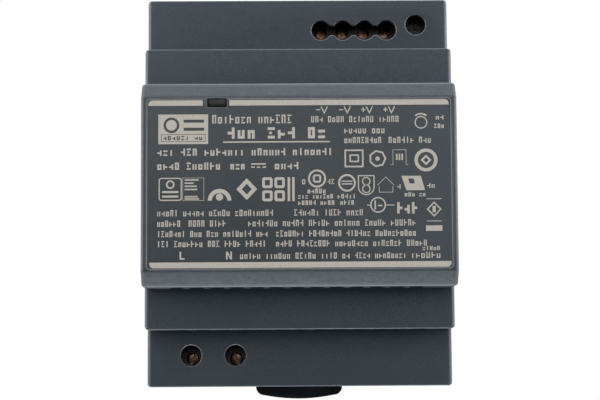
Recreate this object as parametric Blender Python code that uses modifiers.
"""A four-module DIN rail power supply, as an assembly of its separate pieces.

Lengths are in millimetres and become metres in the helpers. X is to the right, the front faces -Y and Z
is up. The origin is the middle of the flat seat that rests on the rail.
"""

import math

import bmesh
import bpy
from mathutils import Matrix, Vector

MM = 0.001
GAP = 0.1  # between flat faces that meet
FIT = 0.2  # clearance round a piece in its hole
PAST = 1.0  # how far a cutter runs past what it cuts
ROOT = 0.5  # how deep a joined shape starts inside its neighbour

# Casing: three levels, from the terminal shoulders at the back to the nose at the front.
HALF_WIDTH = 35.0
WALL = 2.0
SHOULDER_HALF_HEIGHT = 45.0
STEP_HALF_HEIGHT = 32.0
NOSE_HALF_HEIGHT = 22.75
FRONT_HALF_HEIGHT = 19.3
FRONT_Y = -49.0
NOSE_EDGE_Y = -46.2
STEP_Y = -38.6
SHOULDER_Y = -31.0
SEAM_Y = -6.0
SEAT_Y = 0.0
BACK_Y = 5.5
BACK_CHAMFER = 1.2
EDGE_ROUND = 0.6
BEVEL_INSET_Y = 0.3
BEVEL_INSET_Z = 0.2

# The rail: 35 mm wide, with 1 mm thick flanges. The seat stands a little proud between hook and clip.
RAIL_HALF_HEIGHT = 18.0
SEAT_HALF_HEIGHT = 15.5
SEAT_STEP = 0.2
RAIL_BEHIND_Y = 1.3
HOOK_Z = 15.8
HOOK_Y = 3.6

# Label, window and lamp in the nose.
LABEL_HALF_WIDTH = 33.8
LABEL_HALF_HEIGHT = 19.0
LABEL_THICK = 0.2
LABEL_RECESS = 0.4
LABEL_ROUND = 1.0
WINDOW_X = -18.15
WINDOW_Z = 18.0
WINDOW_HALF_WIDTH = 2.1
WINDOW_HALF_HEIGHT = 0.9
PIPE_SUNK = 0.15
PIPE_LAMP_GAP = 0.3

# Vents in the walls of the steps, and in the top and bottom walls.
VENT_PITCH = 4.49
VENT_WIDTH = 3.44
NOSE_VENT_Y = (-45.4, -40.4)
STEP_VENT_Y = (-37.8, -32.8)
NOSE_VENT_FIRST_RIB = -29.8
STEP_VENT_FIRST_RIB = -28.75
VENT_COUNT = 13
WIDE_RIB = (-8.2, -5.56)
END_VENT_WIDTH = 2.4
END_VENT_PITCH = 4.2
END_VENT_Y = (-27.0, -12.0)
TOP_VENTS_X = (-29.0, 7)
BOTTOM_VENTS_X = (3.0, 7)

# Terminals: screw axes run along Y, wires enter along Z.
OUTPUT_WAYS_X = (5.48, 10.56, 15.64, 20.72)
INPUT_WAYS_X = (-24.97, -14.81)
OUTPUT_HOLE_Z = 37.83
INPUT_HOLE_Z = -37.82
SCREW_Z = 38.7
OUTPUT_HOLE_R = 2.3
INPUT_HOLE_R = 2.4
SLOT_WAIST = 1.1
HOLE_SIDES = 24
BLOCK_HALF_WIDTH = 10.16
BLOCK_Z = (33.2, 42.6)
BLOCK_FRONT_Y = -23.9
CAVITY_HALF_WIDTH = 2.15
CAVITY_Y = (-20.4, -10.4)
CAVITY_Z = (36.0, 41.3)
HEAD_Y = (-22.0, -20.6)
HEAD_R = 1.75
LIP = 0.2
SCREW_R = 1.25
SCREW_TIP_Y = -15.35
SCREW_SLOT = 0.6
CLAMP_Y = (-17.6, -10.5)
CLAMP_Z = (36.3, 41.1)
CLAMP_HALF_WIDTH = 2.0
CLAMP_TOP = 1.2
CLAMP_WALL = 0.6
CONTACT_Y = (-15.2, -14.4)
CONTACT_HALF_WIDTH = 1.2
CONTACT_Z = (35.1, 41.1)
CONTACT_GAP = 0.15
ENTRY_HALF = 2.15
ENTRY_Y = (-15.2, -10.9)
ENTRY_STEP = 0.15
ENTRY_WALL_HALF = ENTRY_HALF + ENTRY_STEP

# Trimmer at the top right.
TRIMMER_X = 27.57
TRIMMER_Z = 39.05
TRIMMER_HOLE_R = 2.35
TRIMMER_HALF = 3.2
TRIMMER_FRONT_Y = -24.0
ROTOR_R = 2.1
ROTOR_Y = (-24.3, -22.7)
ROTOR_RIM = 0.5
ROTOR_SLOT_DEPTH = 0.7

# Main board, parallel to the back.
BOARD_Y = (-9.6, -8.0)
BOARD_HALF = (31.0, 42.0)
BOARD_FACE_Y = BOARD_Y[0] - GAP
POST_R = 2.2
POST_PLACES = ((-27.0, -30.0), (27.0, -30.0), (-27.0, 30.0), (27.0, 31.0))

# Sliding clip in its channel at the lower back, and its spring.
CLIP_Y = (1.3, 4.3)
CLIP_TOOTH_HALF = 9.0
CLIP_PLATE_HALF = 13.0
CLIP_PLATE_Z = (-44.0, -18.6)
CLIP_SHOULDER = 0.5
CLIP_TAB_HALF = 10.75
CLIP_TAB_Z = -48.0
CLIP_TAB_SAG = 0.9
CHANNEL_GAP = 0.3
CHANNEL_Y = (CLIP_Y[0] - CHANNEL_GAP, CLIP_Y[1] + CHANNEL_GAP)
SPRING_WINDOW_HALF = 2.0
LEAD_IN_LOW_Z = -18.2
LEAD_IN_FRONT_Y = 2.5
SPRING_Z = (-38.0, -26.0)
SPRING_Y = 2.8
SPRING_R = 1.25
SPRING_WIRE_R = 0.2
SPRING_TURNS = 9
SPRING_STEPS = 12
PEG_HEIGHT = 2.0
PEG_HALF_WIDTH = 1.6
CLIP_TAB_ROUND = 2.0

# Snap latches that hold the two shells together, on both sides.
LATCH_PLACES_Z = (-24.0, 24.0)
LATCH_HALF = 3.0
LATCH_X = (31.3, 32.7)
LATCH_LUG_X = 34.4
LATCH_TIP_Y = -12.6
LATCH_FOOT_Y = -3.0
LATCH_WINDOW_Y = (-11.4, -8.6)
LATCH_GAP = 0.3

# Circuit.
LAMP_TIP_Y = -12.6
LAMP_R = 0.9
CHOKE_X = -21.0
CHOKE_Z = -24.2
CHOKE_RING_R = 5.4
CHOKE_CORE_R = 1.6
CHOKE_TUBE_R = 2.5
CHOKE_LIFT = 1.2
CHOKE_SWEEP = 140
OUTPUT_CHOKE_XZ = (-24.0, 27.5)
OUTPUT_CHOKE_R = 4.4
OUTPUT_CHOKE_TUBE_R = 2.2
DISC_LIFT = 1.5
LEG_HALF = 0.35
TRANSFORMER_X = 17.5
TRANSFORMER_Z = -3.0
TRANSFORMER_Y = (-13.0, -34.0)
CORE_HALF_WIDTH = 12.5
CORE_HALF_DEPTH = 6.0
CORE_LEG = 4.0
BOBBIN_WALL = 1.0
FLANGE_REACH = 4.0
FLANGE_THICK = 1.2
WINDING_SUNK = 0.8

PLASTIC = ((0.055, 0.068, 0.080, 1.0), 0.55, 0.0)
LABEL_FILM = ((0.050, 0.062, 0.070, 1.0), 0.5, 0.0)
SMOKED = ((0.006, 0.007, 0.008, 1.0), 0.12, 0.0)
BLACK = ((0.008, 0.010, 0.012, 1.0), 0.45, 0.0)
TERMINAL_PLASTIC = ((0.050, 0.028, 0.018, 1.0), 0.5, 0.0)
BRONZE = ((0.36, 0.20, 0.12, 1.0), 0.35, 1.0)
BRASS = ((0.75, 0.58, 0.30, 1.0), 0.3, 1.0)
STEEL = ((0.55, 0.55, 0.56, 1.0), 0.3, 1.0)
ALUMINIUM = ((0.75, 0.76, 0.78, 1.0), 0.4, 1.0)
BOARD_GREEN = ((0.02, 0.16, 0.07, 1.0), 0.45, 0.0)
COPPER = ((0.62, 0.24, 0.10, 1.0), 0.3, 1.0)
FERRITE = ((0.06, 0.06, 0.065, 1.0), 0.6, 0.0)
TAPE = ((0.75, 0.55, 0.06, 1.0), 0.4, 0.0)
SLEEVE = ((0.02, 0.03, 0.07, 1.0), 0.35, 0.0)
CERAMIC_BLUE = ((0.03, 0.10, 0.45, 1.0), 0.5, 0.0)
CERAMIC_GREEN = ((0.05, 0.16, 0.05, 1.0), 0.5, 0.0)
FILM_YELLOW = ((0.75, 0.50, 0.05, 1.0), 0.4, 0.0)
EPOXY = ((0.012, 0.012, 0.013, 1.0), 0.4, 0.0)
OLIVE = ((0.16, 0.17, 0.11, 1.0), 0.55, 0.0)
LAMP = ((0.25, 0.75, 0.30, 1.0), 0.2, 0.0)

# Components on the board. Boxes: name, low and high corner across the board, height, look.
BOXES = (
    ("control_board", (-12.5, -8.0), (-11.3, 12.0), 18.0, BOARD_GREEN),
    ("x_capacitor", (22.0, -41.5), (30.4, -34.0), 13.0, FILM_YELLOW),
    ("primary_heatsink", (-11.0, -19.5), (8.0, -17.5), 30.0, ALUMINIUM),
    ("secondary_heatsink", (-9.0, 17.5), (24.0, 19.5), 30.0, ALUMINIUM),
    ("optocoupler", (-8.0, 6.0), (-1.5, 10.6), 3.5, EPOXY),
)
# Round ones: name, x, z, radius, height, look.
CANS = (
    ("fuse", -4.0, -37.5, 4.2, 8.0, EPOXY),
    ("bulk_capacitor_1", -22.5, -6.2, 7.5, 32.0, SLEEVE),
    ("bulk_capacitor_2", -22.5, 9.2, 7.5, 32.0, SLEEVE),
    ("output_capacitor_1", -6.0, 25.0, 4.3, 20.0, SLEEVE),
    ("output_capacitor_2", 4.5, 25.0, 4.3, 20.0, SLEEVE),
    ("output_capacitor_3", 15.0, 25.0, 4.3, 20.0, SLEEVE),
)
# Discs on edge: name, x, z, radius, thickness, look.
DISCS = (
    ("inrush_thermistor", 6.5, -38.5, 4.5, 4.0, CERAMIC_GREEN),
    ("surge_varistor", 16.5, -38.5, 4.5, 4.0, CERAMIC_BLUE),
    ("y_capacitor", 14.0, -28.5, 3.5, 3.5, CERAMIC_BLUE),
)
# Flat packages on legs: name, low and high corner, height, lift, number of legs, look.
LEADED = (
    ("bridge_rectifier", (-9.0, -27.0), (6.0, -23.5), 12.0, 3.0, 4, EPOXY),
    ("power_transistor", (-6.5, -17.4), (3.5, -13.0), 15.0, 4.0, 3, EPOXY),
    ("rectifier_diode", (9.0, 13.0), (19.0, 17.4), 15.0, 4.0, 3, EPOXY),
)

for old in list(bpy.data.objects):
    bpy.data.objects.remove(old, do_unlink=True)

parts = bpy.data.collections.new("din_rail_power_supply")
cutters = bpy.data.collections.new("cutters")
bpy.context.scene.collection.children.link(parts)
bpy.context.scene.collection.children.link(cutters)


# Helpers


def material(name, look):
    """A Principled material from a colour, a roughness and a metallic value."""
    colour, roughness, metallic = look
    made = bpy.data.materials.new(name)
    made.use_nodes = True
    shader = made.node_tree.nodes["Principled BSDF"]
    shader.inputs["Base Color"].default_value = colour
    shader.inputs["Roughness"].default_value = roughness
    shader.inputs["Metallic"].default_value = metallic
    return made


def place(name, mesh, centre, look):
    """An object at a point: a part if it has a look, otherwise a cutter."""
    obj = bpy.data.objects.new(name, mesh)
    obj.location = Vector(centre) * MM
    if look is None:
        cutters.objects.link(obj)
        obj.hide_render = True
        obj.display_type = "WIRE"
    else:
        parts.objects.link(obj)
        obj.data.materials.append(material(name, look))
    return obj


def mesh_of(name, fill):
    """A mesh made by a function that fills a bmesh."""
    shape = bmesh.new()
    fill(shape)
    mesh = bpy.data.meshes.new(name)
    shape.to_mesh(mesh)
    shape.free()
    return mesh


def block(name, low, high, look=None):
    """A box between two corners, with its origin at its middle."""
    low, high = Vector(low), Vector(high)
    size = (high - low) * MM

    def fill(shape):
        bmesh.ops.create_cube(shape, size=1.0, matrix=Matrix.Diagonal((*size, 1.0)))

    return place(name, mesh_of(name, fill), (low + high) / 2, look)


def blocks(name, boxes):
    """One cutter made of boxes that don't meet."""

    def fill(shape):
        for low, high in boxes:
            low, high = Vector(low) * MM, Vector(high) * MM
            at = Matrix.Translation((low + high) / 2)
            bmesh.ops.create_cube(shape, size=1.0, matrix=at @ Matrix.Diagonal((*(high - low), 1.0)))

    return place(name, mesh_of(name, fill), (0, 0, 0), None)


TURN = {
    "Y": Matrix.Rotation(-math.pi / 2, 4, "X"),
    "Z": Matrix.Identity(4),
}


def rod(name, centre, radius, length, axis="Y", look=None, sides=HOLE_SIDES):
    """A cylinder about an axis, with its origin at its middle."""

    def fill(shape):
        bmesh.ops.create_cone(
            shape,
            cap_ends=True,
            segments=sides,
            radius1=radius * MM,
            radius2=radius * MM,
            depth=length * MM,
            matrix=TURN[axis],
        )

    obj = place(name, mesh_of(name, fill), centre, look)
    obj.data.shade_smooth()
    obj.data.set_sharp_from_angle(angle=math.radians(40))
    return obj


def rods(name, centres, radius, length, sides=HOLE_SIDES):
    """One cutter made of cylinders along Y that don't meet."""

    def fill(shape):
        for centre in centres:
            bmesh.ops.create_cone(
                shape,
                cap_ends=True,
                segments=sides,
                radius1=radius * MM,
                radius2=radius * MM,
                depth=length * MM,
                matrix=Matrix.Translation(Vector(centre) * MM) @ TURN["Y"],
            )

    return place(name, mesh_of(name, fill), (0, 0, 0), None)


# For an outline's plane: its local X, Y and Z as world axes, and the world axis that it is drawn out along.
PLANES = {
    "YZ": (Matrix(((0, 0, 1), (1, 0, 0), (0, 1, 0))).to_4x4(), Vector((1, 0, 0))),
    "XZ": (Matrix(((1, 0, 0), (0, 0, -1), (0, 1, 0))).to_4x4(), Vector((0, 1, 0))),
}


def prism(name, outline, plane, low, high, look=None):
    """A closed outline in a plane, drawn out from low to high along the plane's own axis."""
    turn, axis = PLANES[plane]
    curve = bpy.data.curves.new(name, "CURVE")
    curve.dimensions = "2D"
    curve.fill_mode = "BOTH"
    curve.extrude = (high - low) / 2 * MM
    spline = curve.splines.new("POLY")
    spline.points.add(len(outline) - 1)
    for point, (u, v) in zip(spline.points, outline):
        point.co = (u * MM, v * MM, 0, 1)
    spline.use_cyclic_u = True
    mesh = mesh_of_curve(name, curve)
    mesh.transform(turn)
    return place(name, mesh, axis * (low + high) / 2, look)


def mesh_of_curve(name, curve):
    """The curve as a mesh, with its caps welded to its sides."""
    drawn = bpy.data.objects.new(name + "_curve", curve)
    bpy.context.scene.collection.objects.link(drawn)
    bpy.context.view_layer.update()
    mesh = bpy.data.meshes.new_from_object(drawn.evaluated_get(bpy.context.evaluated_depsgraph_get()))
    bpy.data.objects.remove(drawn, do_unlink=True)
    shape = bmesh.new()
    shape.from_mesh(mesh)
    bmesh.ops.remove_doubles(shape, verts=shape.verts, dist=0.001 * MM)
    flat = math.radians(0.5)
    bmesh.ops.dissolve_limit(shape, angle_limit=flat, verts=shape.verts, edges=shape.edges)
    bmesh.ops.recalc_face_normals(shape, faces=shape.faces)
    shape.to_mesh(mesh)
    shape.free()
    return mesh


def boolean(target, other, operation):
    step = target.modifiers.new(other.name, "BOOLEAN")
    step.operation = operation
    step.object = other


def cut(target, *tools):
    for tool in tools:
        boolean(target, tool, "DIFFERENCE")


def join(target, *others):
    for other in others:
        boolean(target, other, "UNION")


def round_edges(obj, width, segments=2, angle=30):
    bevel = obj.modifiers.new("rounded edges", "BEVEL")
    bevel.width = width * MM
    bevel.segments = segments
    bevel.limit_method = "ANGLE"
    bevel.angle_limit = math.radians(angle)


def arc(centre, radius, start, end, steps):
    """Points of an arc, with its ends, for angles in degrees."""
    points = []
    for index in range(steps + 1):
        turn = math.radians(start + (end - start) * index / steps)
        points.append((centre[0] + radius * math.cos(turn), centre[1] + radius * math.sin(turn)))
    return points


def rounded_rectangle(half_width, half_height, radius, steps=4):
    """Outline of a rectangle with round corners, about the origin, anticlockwise."""
    points = []
    for sign_u, sign_v, start in ((1, 1, 0), (-1, 1, 90), (-1, -1, 180), (1, -1, 270)):
        centre = (sign_u * (half_width - radius), sign_v * (half_height - radius))
        points += arc(centre, radius, start, start + 90, steps)
    return points


def mirrored(upper):
    """An outline from its upper half, listed from the back to the front."""
    return upper + [(y, -z) for y, z in reversed(upper)]


def bake(obj, *tools):
    """Applies an object's modifiers, then removes the cutters that only they used."""
    bpy.context.view_layer.update()
    graph = bpy.context.evaluated_depsgraph_get()
    mesh = bpy.data.meshes.new_from_object(obj.evaluated_get(graph))
    obj.modifiers.clear()
    obj.data = mesh
    for tool in tools:
        bpy.data.objects.remove(tool, do_unlink=True)


def copy_to(first, name, centre):
    """Another object on the same mesh."""
    obj = bpy.data.objects.new(name, first.data)
    obj.location = Vector(centre) * MM
    parts.objects.link(obj)
    return obj


def torus(name, centre, ring_radius, tube_radius, look=None, ring_sides=24, tube_sides=8):
    """A ring about Y."""
    bpy.ops.mesh.primitive_torus_add(
        major_segments=ring_sides,
        minor_segments=tube_sides,
        major_radius=ring_radius * MM,
        minor_radius=tube_radius * MM,
    )
    made = bpy.context.active_object
    mesh = made.data
    mesh.transform(TURN["Y"])
    bpy.data.objects.remove(made, do_unlink=True)
    return place(name, mesh, centre, look)


def tube_on(name, path, radius, centre, look=None, sides_setting=2):
    """A round wire along a path, with closed ends."""
    curve = bpy.data.curves.new(name, "CURVE")
    curve.dimensions = "3D"
    curve.bevel_depth = radius * MM
    curve.bevel_resolution = sides_setting
    curve.use_fill_caps = True
    spline = curve.splines.new("POLY")
    spline.points.add(len(path) - 1)
    for point, at in zip(spline.points, path):
        point.co = (*(Vector(at) * MM), 1)
    return place(name, mesh_of_curve(name, curve), centre, look)


# Casing


def casing_outline(inset, back):
    """Side outline of the front shell, inset for its inner face. The sloping bevels move by less."""
    return mirrored([
        (back, SHOULDER_HALF_HEIGHT - inset),
        (SHOULDER_Y + inset, SHOULDER_HALF_HEIGHT - inset),
        (SHOULDER_Y + inset, STEP_HALF_HEIGHT - inset),
        (STEP_Y + inset, STEP_HALF_HEIGHT - inset),
        (STEP_Y + inset, NOSE_HALF_HEIGHT - inset),
        (NOSE_EDGE_Y + inset * BEVEL_INSET_Y, NOSE_HALF_HEIGHT - inset),
        (FRONT_Y + inset, FRONT_HALF_HEIGHT - inset * BEVEL_INSET_Z),
    ])


def vent_spans(first_rib, gap=None):
    """The slots between ribs at an even pitch, left clear of a wider rib."""
    half_rib = (VENT_PITCH - VENT_WIDTH) / 2
    spans = []
    for index in range(VENT_COUNT):
        left = first_rib + index * VENT_PITCH + half_rib
        right = left + VENT_WIDTH
        if gap and left < gap[1] and right > gap[0]:
            if gap[0] - left > right - gap[1]:
                right = min(right, gap[0])
            else:
                left = max(left, gap[1])
        spans.append((left, right))
    return spans


def through_wall(height, sign):
    """The heights between which a cutter passes through a wall, above or below the middle."""
    return sorted((sign * (height - WALL - PAST), sign * (height + PAST)))


def vent_boxes():
    """Boxes for the slots in the walls of both steps, above and below, and in the end walls."""
    boxes = []
    rows = (
        (vent_spans(NOSE_VENT_FIRST_RIB), NOSE_VENT_Y, NOSE_HALF_HEIGHT),
        (vent_spans(STEP_VENT_FIRST_RIB, WIDE_RIB), STEP_VENT_Y, STEP_HALF_HEIGHT),
    )
    for spans, (near, far), height in rows:
        for sign in (1, -1):
            low, high = through_wall(height, sign)
            boxes += [((left, near, low), (right, far, high)) for left, right in spans]
    for (first, count), sign in ((TOP_VENTS_X, 1), (BOTTOM_VENTS_X, -1)):
        low, high = through_wall(SHOULDER_HALF_HEIGHT, sign)
        for index in range(count):
            left = first + index * END_VENT_PITCH
            boxes.append(((left, END_VENT_Y[0], low), (left + END_VENT_WIDTH, END_VENT_Y[1], high)))
    return boxes


def entry_boxes():
    """Boxes for the wire entries in the top and bottom walls."""
    boxes = []
    for ways, sign in ((OUTPUT_WAYS_X, 1), (INPUT_WAYS_X, -1)):
        low, high = through_wall(SHOULDER_HALF_HEIGHT, sign)
        for x in ways:
            boxes.append((
                (x - ENTRY_WALL_HALF, ENTRY_Y[0] - ENTRY_STEP, low),
                (x + ENTRY_WALL_HALF, ENTRY_Y[1] + ENTRY_STEP, high),
            ))
    return boxes


def latch_boxes(low_x, high_x, near, far, half_length):
    """Boxes on both sides of the casing, at both latch heights."""
    boxes = []
    for sign in (1, -1):
        left, right = sorted((sign * low_x, sign * high_x))
        for z in LATCH_PLACES_Z:
            boxes.append(((left, near, z - half_length), (right, far, z + half_length)))
    return boxes


def make_front_housing():
    shell = prism("front_housing", casing_outline(0, SEAM_Y), "YZ", -HALF_WIDTH, HALF_WIDTH, PLASTIC)
    round_edges(shell, EDGE_ROUND)
    inside = prism(
        "front_inside",
        casing_outline(WALL, SEAM_Y + PAST),
        "YZ",
        -HALF_WIDTH + WALL,
        HALF_WIDTH - WALL,
    )
    recess_floor = FRONT_Y + LABEL_RECESS
    recess = prism(
        "label_recess",
        rounded_rectangle(LABEL_HALF_WIDTH + GAP, LABEL_HALF_HEIGHT + GAP, LABEL_ROUND + GAP),
        "XZ",
        FRONT_Y - PAST,
        recess_floor,
    )
    window = block(
        "window_hole",
        (WINDOW_X - WINDOW_HALF_WIDTH, FRONT_Y - PAST, WINDOW_Z - WINDOW_HALF_HEIGHT),
        (WINDOW_X + WINDOW_HALF_WIDTH, FRONT_Y + WALL + PAST, WINDOW_Z + WINDOW_HALF_HEIGHT),
    )
    middle_y = SHOULDER_Y + WALL / 2
    hole_length = WALL + 2 * PAST
    outputs = [(x, middle_y, OUTPUT_HOLE_Z) for x in OUTPUT_WAYS_X]
    inputs = [(x, middle_y, INPUT_HOLE_Z) for x in INPUT_WAYS_X]
    output_waist = block(
        "output_waist",
        (OUTPUT_WAYS_X[0], SHOULDER_Y - PAST, OUTPUT_HOLE_Z - SLOT_WAIST),
        (OUTPUT_WAYS_X[-1], SHOULDER_Y + WALL + PAST, OUTPUT_HOLE_Z + SLOT_WAIST),
    )
    cut(
        shell,
        inside,
        recess,
        window,
        rods("output_holes", outputs, OUTPUT_HOLE_R, hole_length),
        output_waist,
        rods("input_holes", inputs, INPUT_HOLE_R, hole_length),
        rods("trimmer_hole", [(TRIMMER_X, middle_y, TRIMMER_Z)], TRIMMER_HOLE_R, hole_length),
        blocks("vents", vent_boxes()),
        blocks("wire_entries", entry_boxes()),
        blocks(
            "latch_windows",
            latch_boxes(HALF_WIDTH - WALL - PAST, HALF_WIDTH + PAST, *LATCH_WINDOW_Y, LATCH_HALF + LATCH_GAP),
        ),
    )


def make_rear_base():
    outline = [
        (SEAM_Y + GAP, SHOULDER_HALF_HEIGHT),
        (BACK_Y - BACK_CHAMFER, SHOULDER_HALF_HEIGHT),
        (BACK_Y, SHOULDER_HALF_HEIGHT - BACK_CHAMFER),
        (BACK_Y, RAIL_HALF_HEIGHT + WALL),
        (HOOK_Y, HOOK_Z),
        (RAIL_BEHIND_Y, HOOK_Z),
        (RAIL_BEHIND_Y, RAIL_HALF_HEIGHT),
        (SEAT_Y - SEAT_STEP, RAIL_HALF_HEIGHT),
        (SEAT_Y - SEAT_STEP, SEAT_HALF_HEIGHT),
        (SEAT_Y, SEAT_HALF_HEIGHT),
        (SEAT_Y, -SEAT_HALF_HEIGHT),
        (SEAT_Y - SEAT_STEP, -SEAT_HALF_HEIGHT),
        (SEAT_Y - SEAT_STEP, -RAIL_HALF_HEIGHT),
        (BACK_Y, -RAIL_HALF_HEIGHT),
        (BACK_Y, -SHOULDER_HALF_HEIGHT + BACK_CHAMFER),
        (BACK_Y - BACK_CHAMFER, -SHOULDER_HALF_HEIGHT),
        (SEAM_Y + GAP, -SHOULDER_HALF_HEIGHT),
    ]
    base = prism("rear_base", outline, "YZ", -HALF_WIDTH, HALF_WIDTH, PLASTIC)
    inner_half = HALF_WIDTH - WALL
    inner_height = SHOULDER_HALF_HEIGHT - WALL
    recess_height = RAIL_HALF_HEIGHT + WALL
    cavity = prism(
        "base_inside",
        [
            (SEAM_Y - PAST, inner_height),
            (BACK_Y - WALL, inner_height),
            (BACK_Y - WALL, recess_height),
            (SEAT_Y - WALL, recess_height),
            (SEAT_Y - WALL, -inner_height),
            (SEAM_Y - PAST, -inner_height),
        ],
        "YZ",
        -inner_half,
        inner_half,
    )
    half_channel = CLIP_PLATE_HALF + CHANNEL_GAP
    half_mouth = CLIP_TAB_HALF + CHANNEL_GAP
    pocket_spans = ((half_channel + WALL, inner_half), (-inner_half, -half_channel - WALL))
    pocket_front = SEAT_Y - WALL - ROOT
    pockets = blocks(
        "side_pockets",
        [
            ((left, pocket_front, -inner_height), (right, BACK_Y - WALL, -recess_height))
            for left, right in pocket_spans
        ],
    )
    below = -SHOULDER_HALF_HEIGHT - PAST
    above = -RAIL_HALF_HEIGHT + PAST
    channel = block("channel", (-half_channel, CHANNEL_Y[0], below), (half_channel, CHANNEL_Y[1], above))
    mouth_front = CHANNEL_Y[1] - ROOT
    mouth = block("channel_mouth", (-half_mouth, mouth_front, below), (half_mouth, BACK_Y + PAST, above))
    cut(base, cavity, pockets, channel, mouth)
    peg = block(
        "spring_peg",
        (-PEG_HALF_WIDTH, CHANNEL_Y[0] - ROOT, SPRING_Z[0] - PEG_HEIGHT),
        (PEG_HALF_WIDTH, CLIP_Y[1] - CHANNEL_GAP, SPRING_Z[0]),
    )
    join(base, peg)
    post_back = BACK_Y - WALL / 2
    post_front = BOARD_Y[1] + GAP
    post_length = post_back - post_front
    for index, (x, z) in enumerate(POST_PLACES):
        centre = (x, (post_back + post_front) / 2, z)
        join(base, rod(f"post_{index + 1}", centre, POST_R, post_length, sides=12))
    foot_x = HALF_WIDTH - WALL + ROOT
    lug_y = (LATCH_WINDOW_Y[0] + LATCH_GAP, LATCH_WINDOW_Y[1] - LATCH_GAP)
    tongues = latch_boxes(LATCH_X[0], LATCH_X[1], LATCH_TIP_Y, LATCH_FOOT_Y, LATCH_HALF)
    feet = latch_boxes(LATCH_X[0], foot_x, SEAM_Y + ROOT, LATCH_FOOT_Y, LATCH_HALF)
    lugs = latch_boxes(LATCH_X[1] - ROOT, LATCH_LUG_X, *lug_y, LATCH_HALF)
    for index, pieces in enumerate(zip(tongues, feet, lugs)):
        for kind, (low, high) in zip(("tongue", "foot", "lug"), pieces):
            join(base, block(f"latch_{kind}_{index + 1}", low, high))


def make_label():
    front = FRONT_Y + GAP
    label = prism(
        "rating_label",
        rounded_rectangle(LABEL_HALF_WIDTH, LABEL_HALF_HEIGHT, LABEL_ROUND),
        "XZ",
        front,
        front + LABEL_THICK,
        LABEL_FILM,
    )
    notch = block(
        "label_notch",
        (WINDOW_X - WINDOW_HALF_WIDTH - GAP, front - PAST, WINDOW_Z - WINDOW_HALF_HEIGHT - GAP),
        (WINDOW_X + WINDOW_HALF_WIDTH + GAP, front + PAST, LABEL_HALF_HEIGHT + PAST),
    )
    cut(label, notch)


def make_lamp():
    half_width = WINDOW_HALF_WIDTH - PIPE_SUNK
    half_height = WINDOW_HALF_HEIGHT - GAP
    block(
        "light_pipe",
        (WINDOW_X - half_width, FRONT_Y + PIPE_SUNK, WINDOW_Z - half_height),
        (WINDOW_X + half_width, LAMP_TIP_Y - PIPE_LAMP_GAP, WINDOW_Z + half_height),
        SMOKED,
    )
    length = BOARD_FACE_Y - LAMP_TIP_Y
    centre = (WINDOW_X, LAMP_TIP_Y + length / 2, WINDOW_Z)
    rod("status_led", centre, LAMP_R, length, look=LAMP, sides=12)


# Terminals


def span(low_high, sign):
    """A span of heights, turned over for the lower terminals."""
    return sorted(sign * value for value in low_high)


def way_boxes(ways, half_width, y_span, z_span):
    return [((x - half_width, y_span[0], z_span[0]), (x + half_width, y_span[1], z_span[1])) for x in ways]


def make_terminal_block(name, ways, sign):
    middle_x = sum(ways) / len(ways)
    low_z, high_z = span(BLOCK_Z, sign)
    body = block(
        name,
        (middle_x - BLOCK_HALF_WIDTH, BLOCK_FRONT_Y, low_z),
        (middle_x + BLOCK_HALF_WIDTH, BOARD_FACE_Y, high_z),
        TERMINAL_PLASTIC,
    )
    cavity_z = span(CAVITY_Z, sign)
    slot_y = (CONTACT_Y[0] - CONTACT_GAP, BOARD_FACE_Y + PAST)
    slot_z = span((CONTACT_Z[0] - CONTACT_GAP, CAVITY_Z[0] + ROOT), sign)
    entry_z = span((CAVITY_Z[1] - ROOT, BLOCK_Z[1] + PAST), sign)
    chamber_y = (HEAD_Y[0] - CONTACT_GAP, CAVITY_Y[0] + ROOT)
    chamber_middle = sum(chamber_y) / 2
    driver_y = (BLOCK_FRONT_Y - PAST, HEAD_Y[0])
    driver_middle = sum(driver_y) / 2
    cut(
        body,
        blocks(name + "_cavities", way_boxes(ways, CAVITY_HALF_WIDTH, CAVITY_Y, cavity_z)),
        blocks(name + "_contact_slots", way_boxes(ways, CONTACT_HALF_WIDTH + CONTACT_GAP, slot_y, slot_z)),
        blocks(name + "_entries", way_boxes(ways, ENTRY_HALF, ENTRY_Y, entry_z)),
        rods(
            name + "_head_chambers",
            [(x, chamber_middle, sign * SCREW_Z) for x in ways],
            HEAD_R + FIT,
            chamber_y[1] - chamber_y[0],
            sides=16,
        ),
        rods(
            name + "_driver_holes",
            [(x, driver_middle, sign * SCREW_Z) for x in ways],
            HEAD_R - LIP,
            driver_y[1] - driver_y[0],
            sides=16,
        ),
    )


def make_screw(name, centre):
    """A slotted screw along Y, its origin at the middle of its head."""
    head_length = HEAD_Y[1] - HEAD_Y[0]
    screw = rod(name, (0, 0, 0), HEAD_R, head_length, look=BRONZE, sides=16)
    shank_length = SCREW_TIP_Y - HEAD_Y[1]
    shank_middle = (head_length + shank_length - ROOT) / 2
    shank = rod("shank", (0, shank_middle, 0), SCREW_R, shank_length + ROOT, sides=12)
    half_slot = SCREW_SLOT / 2
    slot_floor = -head_length / 2 + SCREW_SLOT
    slot_reach = HEAD_R + PAST
    slot = block("slot", (-half_slot, -head_length, -slot_reach), (half_slot, slot_floor, slot_reach))
    join(screw, shank)
    cut(screw, slot)
    bake(screw, shank, slot)
    screw.location = Vector(centre) * MM
    return screw


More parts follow.
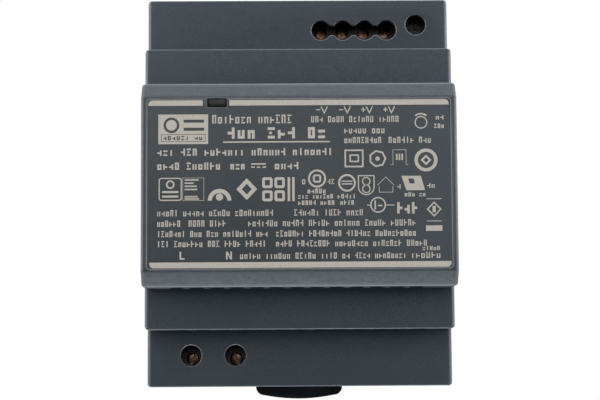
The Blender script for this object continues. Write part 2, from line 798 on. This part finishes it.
def make_clamp(name, centre):
    """A rising cage: a band round the wire, threaded for the screw at its top."""
    half_height = (CLAMP_Y[1] - CLAMP_Y[0]) / 2
    half_depth = (CLAMP_Z[1] - CLAMP_Z[0]) / 2
    clamp = block(
        name,
        (-CLAMP_HALF_WIDTH, -half_height, -half_depth),
        (CLAMP_HALF_WIDTH, half_height, half_depth),
        STEEL,
    )
    half_inside = CLAMP_HALF_WIDTH - CLAMP_WALL
    inside = block(
        "clamp_inside",
        (-half_inside, -half_height + CLAMP_TOP, -half_depth - PAST),
        (half_inside, half_height - CLAMP_WALL, half_depth + PAST),
    )
    thread = rod("clamp_thread", (0, -half_height, 0), SCREW_R + FIT, 2 * CLAMP_TOP + PAST, sides=12)
    cut(clamp, inside, thread)
    bake(clamp, inside, thread)
    clamp.location = Vector(centre) * MM
    return clamp


def make_contact(name, x, sign):
    """A bent bar: a leg down to the board and a tongue through the cage."""
    leg = CONTACT_Y[1] - CONTACT_Y[0]
    foot_y = BOARD_FACE_Y - GAP
    outline = [
        (CONTACT_Y[0], CONTACT_Z[0]),
        (foot_y, CONTACT_Z[0]),
        (foot_y, CONTACT_Z[0] + leg),
        (CONTACT_Y[1], CONTACT_Z[0] + leg),
        (CONTACT_Y[1], CONTACT_Z[1]),
        (CONTACT_Y[0], CONTACT_Z[1]),
    ]
    outline = [(y, sign * z) for y, z in outline]
    prism(name, outline, "YZ", x - CONTACT_HALF_WIDTH, x + CONTACT_HALF_WIDTH, BRASS)


def make_terminals():
    first_screw = None
    first_clamp = None
    head_middle = sum(HEAD_Y) / 2
    clamp_middle = sum(CLAMP_Y) / 2
    clamp_z = sum(CLAMP_Z) / 2
    for side, ways, sign in (("output", OUTPUT_WAYS_X, 1), ("input", INPUT_WAYS_X, -1)):
        make_terminal_block(f"{side}_terminal_block", ways, sign)
        for number, x in enumerate(ways, start=1):
            screw_at = (x, head_middle, sign * SCREW_Z)
            clamp_at = (x, clamp_middle, sign * clamp_z)
            if first_screw is None:
                first_screw = make_screw(f"{side}_screw_{number}", screw_at)
                first_clamp = make_clamp(f"{side}_clamp_{number}", clamp_at)
            else:
                copy_to(first_screw, f"{side}_screw_{number}", screw_at)
                copy_to(first_clamp, f"{side}_clamp_{number}", clamp_at)
            make_contact(f"{side}_contact_{number}", x, sign)


def make_trimmer():
    body = block(
        "trimmer_body",
        (TRIMMER_X - TRIMMER_HALF, TRIMMER_FRONT_Y, TRIMMER_Z - TRIMMER_HALF),
        (TRIMMER_X + TRIMMER_HALF, BOARD_FACE_Y, TRIMMER_Z + TRIMMER_HALF),
        OLIVE,
    )
    bore_length = ROTOR_Y[1] + GAP - TRIMMER_FRONT_Y + PAST
    bore_middle = TRIMMER_FRONT_Y - PAST + bore_length / 2
    cut(body, rod("trimmer_bore", (TRIMMER_X, bore_middle, TRIMMER_Z), ROTOR_R + FIT, bore_length))
    length = ROTOR_Y[1] - ROTOR_Y[0]
    rotor = rod("trimmer_rotor", (TRIMMER_X, sum(ROTOR_Y) / 2, TRIMMER_Z), ROTOR_R, length, look=OLIVE)
    half_slot = SCREW_SLOT / 2
    slot = block(
        "rotor_slot",
        (TRIMMER_X - half_slot, ROTOR_Y[0] - PAST, TRIMMER_Z - ROTOR_R + ROTOR_RIM),
        (TRIMMER_X + half_slot, ROTOR_Y[0] + ROTOR_SLOT_DEPTH, TRIMMER_Z + ROTOR_R - ROTOR_RIM),
    )
    cut(rotor, slot)


# Circuit


def on_board(name, low_xz, high_xz, height, look, lift=0.0):
    """A box that stands on the board, or above it."""
    foot = BOARD_FACE_Y - lift
    return block(name, (low_xz[0], foot - height, low_xz[1]), (high_xz[0], foot, high_xz[1]), look)


def can(name, x, z, radius, height, look, sides=20):
    """A round component that stands on the board."""
    return rod(name, (x, BOARD_FACE_Y - height / 2, z), radius, height, look=look, sides=sides)


def disc(name, x, z, radius, thickness, look):
    """A disc that stands on its edge, on two legs that the disc hides."""
    middle_y = BOARD_FACE_Y - DISC_LIFT - radius
    made = rod(name, (x, middle_y, z), radius, thickness, axis="Z", look=look, sides=20)
    for number, offset in enumerate((-radius / 2, radius / 2), start=1):
        leg = block(
            f"{name}_leg_{number}",
            (x + offset - LEG_HALF, middle_y, z - LEG_HALF),
            (x + offset + LEG_HALF, BOARD_FACE_Y, z + LEG_HALF),
        )
        join(made, leg)
    return made


def leaded(name, low_xz, high_xz, height, lift, leg_count, look):
    """A flat package held above the board on a row of legs."""
    made = on_board(name, low_xz, high_xz, height, look, lift=lift)
    middle_z = (low_xz[1] + high_xz[1]) / 2
    pitch = (high_xz[0] - low_xz[0]) / leg_count
    for index in range(leg_count):
        x = low_xz[0] + pitch * (index + 0.5)
        leg = block(
            f"{name}_leg_{index + 1}",
            (x - LEG_HALF, BOARD_FACE_Y - lift - ROOT, middle_z - LEG_HALF),
            (x + LEG_HALF, BOARD_FACE_Y, middle_z + LEG_HALF),
        )
        join(made, leg)
    return made


def make_board():
    block(
        "main_board",
        (-BOARD_HALF[0], BOARD_Y[0], -BOARD_HALF[1]),
        (BOARD_HALF[0], BOARD_Y[1], BOARD_HALF[1]),
        BOARD_GREEN,
    )


def make_components():
    """Everything on the board that the tables above place."""
    for row in BOXES:
        on_board(*row)
    for row in CANS:
        can(*row)
    for row in DISCS:
        disc(*row)
    for row in LEADED:
        leaded(*row)
    choke_y = BOARD_FACE_Y - OUTPUT_CHOKE_TUBE_R - FIT
    choke_at = (OUTPUT_CHOKE_XZ[0], choke_y, OUTPUT_CHOKE_XZ[1])
    torus("output_choke", choke_at, OUTPUT_CHOKE_R, OUTPUT_CHOKE_TUBE_R, COPPER)


def make_choke():
    """A ferrite ring with a winding on each side."""
    centre = (CHOKE_X, BOARD_FACE_Y - CHOKE_TUBE_R - CHOKE_LIFT, CHOKE_Z)
    torus("choke_core", centre, CHOKE_RING_R, CHOKE_CORE_R, FERRITE)
    clearance = torus("choke_clearance", centre, CHOKE_RING_R, CHOKE_CORE_R + FIT)
    for number, start in ((1, 110), (2, -70)):
        path = [(x, 0, z) for x, z in arc((0, 0), CHOKE_RING_R, start, start + CHOKE_SWEEP, 12)]
        winding = tube_on(f"choke_winding_{number}", path, CHOKE_TUBE_R, centre, COPPER, sides_setting=3)
        cut(winding, clearance)


def make_transformer():
    """A core whose windows hold a bobbin and its winding, round the middle leg."""
    x, z = TRANSFORMER_X, TRANSFORMER_Z
    bottom, top = TRANSFORMER_Y
    core = block(
        "transformer_core",
        (x - CORE_HALF_WIDTH, top, z - CORE_HALF_DEPTH),
        (x + CORE_HALF_WIDTH, bottom, z + CORE_HALF_DEPTH),
        FERRITE,
    )
    window_out = CORE_HALF_WIDTH - CORE_LEG
    window_top, window_bottom = top + CORE_LEG, bottom - CORE_LEG
    reach = CORE_HALF_DEPTH + PAST
    cut(core, blocks("core_windows", [
        ((x + CORE_LEG, window_top, z - reach), (x + window_out, window_bottom, z + reach)),
        ((x - window_out, window_top, z - reach), (x - CORE_LEG, window_bottom, z + reach)),
    ]))
    tube_x, tube_z = CORE_LEG + BOBBIN_WALL, CORE_HALF_DEPTH + BOBBIN_WALL
    flange_x, flange_z = window_out - FIT, CORE_HALF_DEPTH + FLANGE_REACH
    near_end, far_end = window_top + FIT, window_bottom - FIT
    bobbin = block(
        "transformer_bobbin",
        (x - tube_x, near_end, z - tube_z),
        (x + tube_x, far_end, z + tube_z),
        EPOXY,
    )
    flanges = ((near_end, near_end + FLANGE_THICK), (far_end - FLANGE_THICK, far_end))
    for number, (near, far) in enumerate(flanges, start=1):
        join(bobbin, block(
            f"bobbin_flange_{number}",
            (x - flange_x, near, z - flange_z),
            (x + flange_x, far, z + flange_z),
        ))
    for number, side in enumerate((-1, 1), start=1):
        low_z, high_z = sorted((z + side * (tube_z + FIT), z + side * flange_z))
        join(bobbin, block(
            f"bobbin_foot_{number}",
            (x - flange_x + ROOT, far_end - ROOT, low_z),
            (x + flange_x - ROOT, BOARD_FACE_Y, high_z),
        ))
    hole = block(
        "bobbin_hole",
        (x - CORE_LEG - FIT, window_top - PAST, z - CORE_HALF_DEPTH - FIT),
        (x + CORE_LEG + FIT, window_bottom + PAST, z + CORE_HALF_DEPTH + FIT),
    )
    cut(bobbin, hole)
    wound_x, wound_z = flange_x - WINDING_SUNK, flange_z - WINDING_SUNK
    near_turn, far_turn = flanges[0][1] + FIT, flanges[1][0] - FIT
    winding = block(
        "transformer_winding",
        (x - wound_x, near_turn, z - wound_z),
        (x + wound_x, far_turn, z + wound_z),
        TAPE,
    )
    cut(winding, block(
        "winding_hole",
        (x - tube_x - FIT, window_top, z - tube_z - FIT),
        (x + tube_x + FIT, window_bottom, z + tube_z + FIT),
    ))


# Rail clip


def make_clip():
    """A plate that slides in the channel, with a tooth for the rail above and a finger tab below."""
    corner = CLIP_TAB_ROUND
    side_z = CLIP_TAB_Z + corner
    flat_half = CLIP_TAB_HALF - corner
    sag_radius = (flat_half**2 + CLIP_TAB_SAG**2) / (2 * CLIP_TAB_SAG)
    sag_angle = math.degrees(math.asin(flat_half / sag_radius))
    low_centre = (0, CLIP_TAB_Z - CLIP_TAB_SAG + sag_radius)
    outline = [
        (CLIP_TOOTH_HALF, -HOOK_Z),
        (-CLIP_TOOTH_HALF, -HOOK_Z),
        (-CLIP_TOOTH_HALF, CLIP_PLATE_Z[1] + CLIP_SHOULDER),
        (-CLIP_PLATE_HALF, CLIP_PLATE_Z[1]),
        (-CLIP_PLATE_HALF, CLIP_PLATE_Z[0] + CLIP_SHOULDER),
        (-CLIP_TAB_HALF, CLIP_PLATE_Z[0]),
    ]
    outline += arc((-flat_half, side_z), corner, 180, 250, 4)
    outline += arc(low_centre, sag_radius, 270 - sag_angle + 1, 270 + sag_angle - 1, 8)
    outline += arc((flat_half, side_z), corner, 290, 360, 4)
    outline += [
        (CLIP_TAB_HALF, CLIP_PLATE_Z[0]),
        (CLIP_PLATE_HALF, CLIP_PLATE_Z[0] + CLIP_SHOULDER),
        (CLIP_PLATE_HALF, CLIP_PLATE_Z[1]),
        (CLIP_TOOTH_HALF, CLIP_PLATE_Z[1] + CLIP_SHOULDER),
    ]
    clip = prism("din_clip", outline, "XZ", *CLIP_Y, BLACK)
    lead_in_back = CLIP_Y[1] + PAST
    lead_in_top = -HOOK_Z + PAST
    lead_in = prism(
        "tooth_lead_in",
        [(lead_in_back, lead_in_top), (lead_in_back, LEAD_IN_LOW_Z), (LEAD_IN_FRONT_Y, lead_in_top)],
        "YZ",
        -CLIP_TOOTH_HALF - PAST,
        CLIP_TOOTH_HALF + PAST,
    )
    window = block(
        "spring_window",
        (-SPRING_WINDOW_HALF, CLIP_Y[0] - PAST, SPRING_Z[0] - PEG_HEIGHT - CHANNEL_GAP),
        (SPRING_WINDOW_HALF, CLIP_Y[1] + PAST, SPRING_Z[1]),
    )
    cut(clip, lead_in, window)


def make_spring():
    """A compression spring between the base's peg, below, and the clip's window, above."""
    bottom = SPRING_Z[0] + SPRING_WIRE_R + GAP
    top = SPRING_Z[1] - SPRING_WIRE_R - GAP
    steps = SPRING_TURNS * SPRING_STEPS
    path = []
    for index in range(steps + 1):
        turn = 2 * math.pi * index / SPRING_STEPS
        height = bottom + (top - bottom) * index / steps
        path.append((SPRING_R * math.cos(turn), SPRING_R * math.sin(turn), height))
    tube_on("clip_spring", path, SPRING_WIRE_R, (0, SPRING_Y, 0), STEEL, sides_setting=1)


make_front_housing()
make_rear_base()
make_label()
make_lamp()
make_terminals()
make_trimmer()
make_board()
make_components()
make_choke()
make_transformer()
make_clip()
make_spring()
